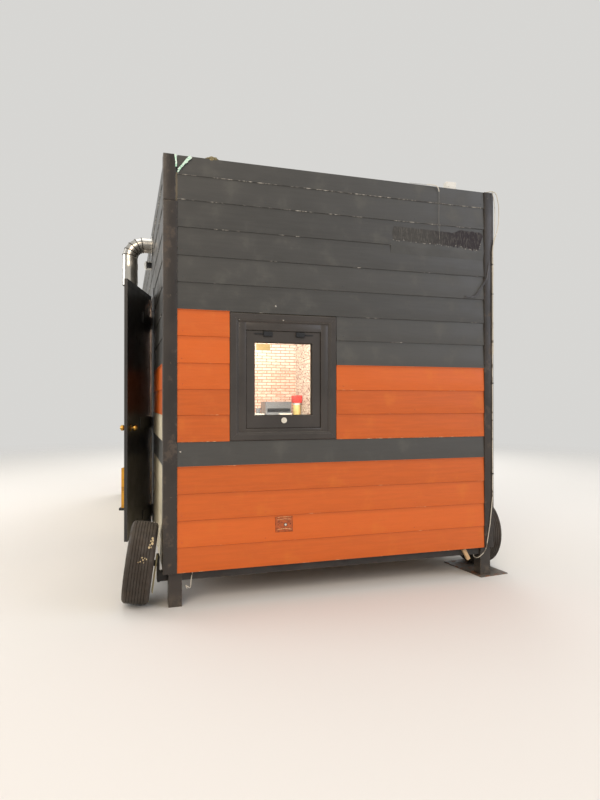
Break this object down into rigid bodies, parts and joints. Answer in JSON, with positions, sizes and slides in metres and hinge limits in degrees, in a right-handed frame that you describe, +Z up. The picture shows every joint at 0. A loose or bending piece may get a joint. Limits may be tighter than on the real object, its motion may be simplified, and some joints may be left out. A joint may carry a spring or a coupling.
{
  "type": "street kiosk",
  "caption": "Timber-clad street kiosk on a steel chassis with legs and wheels, a side door swung open and one small window in its end wall.",
  "frame": {"origin": "on the ground under the middle of the body", "axes": "+Z up; +Y along the body, away from the end wall with the window; +X to the right of someone who faces that wall"},
  "size_m": [3.0023, 5.275, 3.037],
  "materials": {
    "painted_steel": "semi-gloss dark paint",
    "painted_boards": "semi-gloss paint on lapped timber boards, orange and anthracite bands",
    "dark_boards": "dark painted timber trim",
    "roof_sheet": "weathered grey sheet",
    "floor_boards": "worn boards",
    "dark_aluminium": "powder coated, satin",
    "window_glass": "clear",
    "black_plastic": "moulded",
    "lock_steel": "nickel plated",
    "brass": "worn polish",
    "yellow_plastic": "moulded",
    "galvanised_steel": "galvanised sheet",
    "white_plastic": "moulded, weathered",
    "orange_painted_plate": "painted over, worn to cream at the edges",
    "pale_cable": "sheathed cable",
    "dark_cable": "sheathed cable",
    "counter_board": "laminated board",
    "machine_grey": "satin",
    "tyre": "worn, dusty",
    "cream_steel": "dusty paint"
  },
  "bodies": {
    "kiosk": {"back_corner_boards": "dark_boards", "back_wall": "painted_boards", "blanking_plate": "orange_painted_plate", "cable_clips": "pale_cable", "ceiling_lamp": "white_plastic", "corner_cable": "pale_cable", "counter_machine": "machine_grey", "counter_panels": "counter_board", "counter_top": "counter_board", "cross_members": "painted_steel", "door_head": "painted_steel", "door_jambs": "painted_steel", "door_pintles": "painted_steel", "door_sill": "painted_steel", "duct_collar": "galvanised_steel", "duct_elbow": "galvanised_steel", "duct_pipe": "galvanised_steel", "end_roof_trims": "dark_boards", "floor_deck": "floor_boards", "front_corner_boards": "dark_boards", "front_wall": "painted_boards", "left_wall_back": "painted_boards", "left_wall_front": "painted_boards", "left_wall_over_door": "painted_boards", "legs": "painted_steel", "packing_plate": "painted_steel", "right_wall": "painted_boards", "roof_box": "white_plastic", "roof_deck": "roof_sheet", "side_rails": "painted_steel", "side_roof_trims": "dark_boards", "wall_cables": "dark_cable", "wall_lamp": "white_plastic", "wheel_brackets": "painted_steel", "window_casing": "dark_boards", "window_frame": "dark_aluminium", "window_glass": "window_glass", "window_hinges": "black_plastic", "window_lock": "lock_steel", "window_sash": "dark_aluminium"},
    "door": {"door_leaf": "painted_steel", "door_straps": "painted_steel", "door_ledge": "painted_steel", "door_tray": "yellow_plastic"},
    "knob": {"door_knob": "brass"},
    "wheel_front_left": {"tyre_front_left": "tyre", "rim_front_left": "cream_steel"},
    "wheel_front_right": {"tyre_front_right": "tyre", "rim_front_right": "cream_steel"},
    "wheel_rear_left": {"tyre_rear_left": "tyre", "rim_rear_left": "cream_steel"},
    "wheel_rear_right": {"tyre_rear_right": "tyre", "rim_rear_right": "cream_steel"}
  },
  "joints": [
    {"name": "door_hinge", "type": "hinge", "parent": "kiosk", "child": "door", "pos_m": [-1.256, -1.158, 1.185], "axis": [0, 0, 1], "range_deg": [-164, 5]},
    {"name": "knob_turn", "type": "hinge", "parent": "door", "child": "knob", "pos_m": [-1.45633, -1.7986, 1.157], "axis": [-0.9613, 0.2756, 0], "range_deg": [-45, 45], "stiffness_Nm_per_rad": 0.4},
    {"name": "wheel_spin_front_left", "type": "hinge", "parent": "kiosk", "child": "wheel_front_left", "pos_m": [-1.385, -2.365, 0.27896], "axis": [-0.9877, 0.0864, 0.1305], "continuous": true},
    {"name": "wheel_spin_front_right", "type": "hinge", "parent": "kiosk", "child": "wheel_front_right", "pos_m": [1.346, -2.15, 0.28], "axis": [1, 0, 0], "continuous": true},
    {"name": "wheel_spin_rear_left", "type": "hinge", "parent": "kiosk", "child": "wheel_rear_left", "pos_m": [-1.385, 2.365, 0.272], "axis": [-1, 0, 0], "continuous": true},
    {"name": "wheel_spin_rear_right", "type": "hinge", "parent": "kiosk", "child": "wheel_rear_right", "pos_m": [1.385, 2.15, 0.272], "axis": [1, 0, 0], "continuous": true}
  ]
}
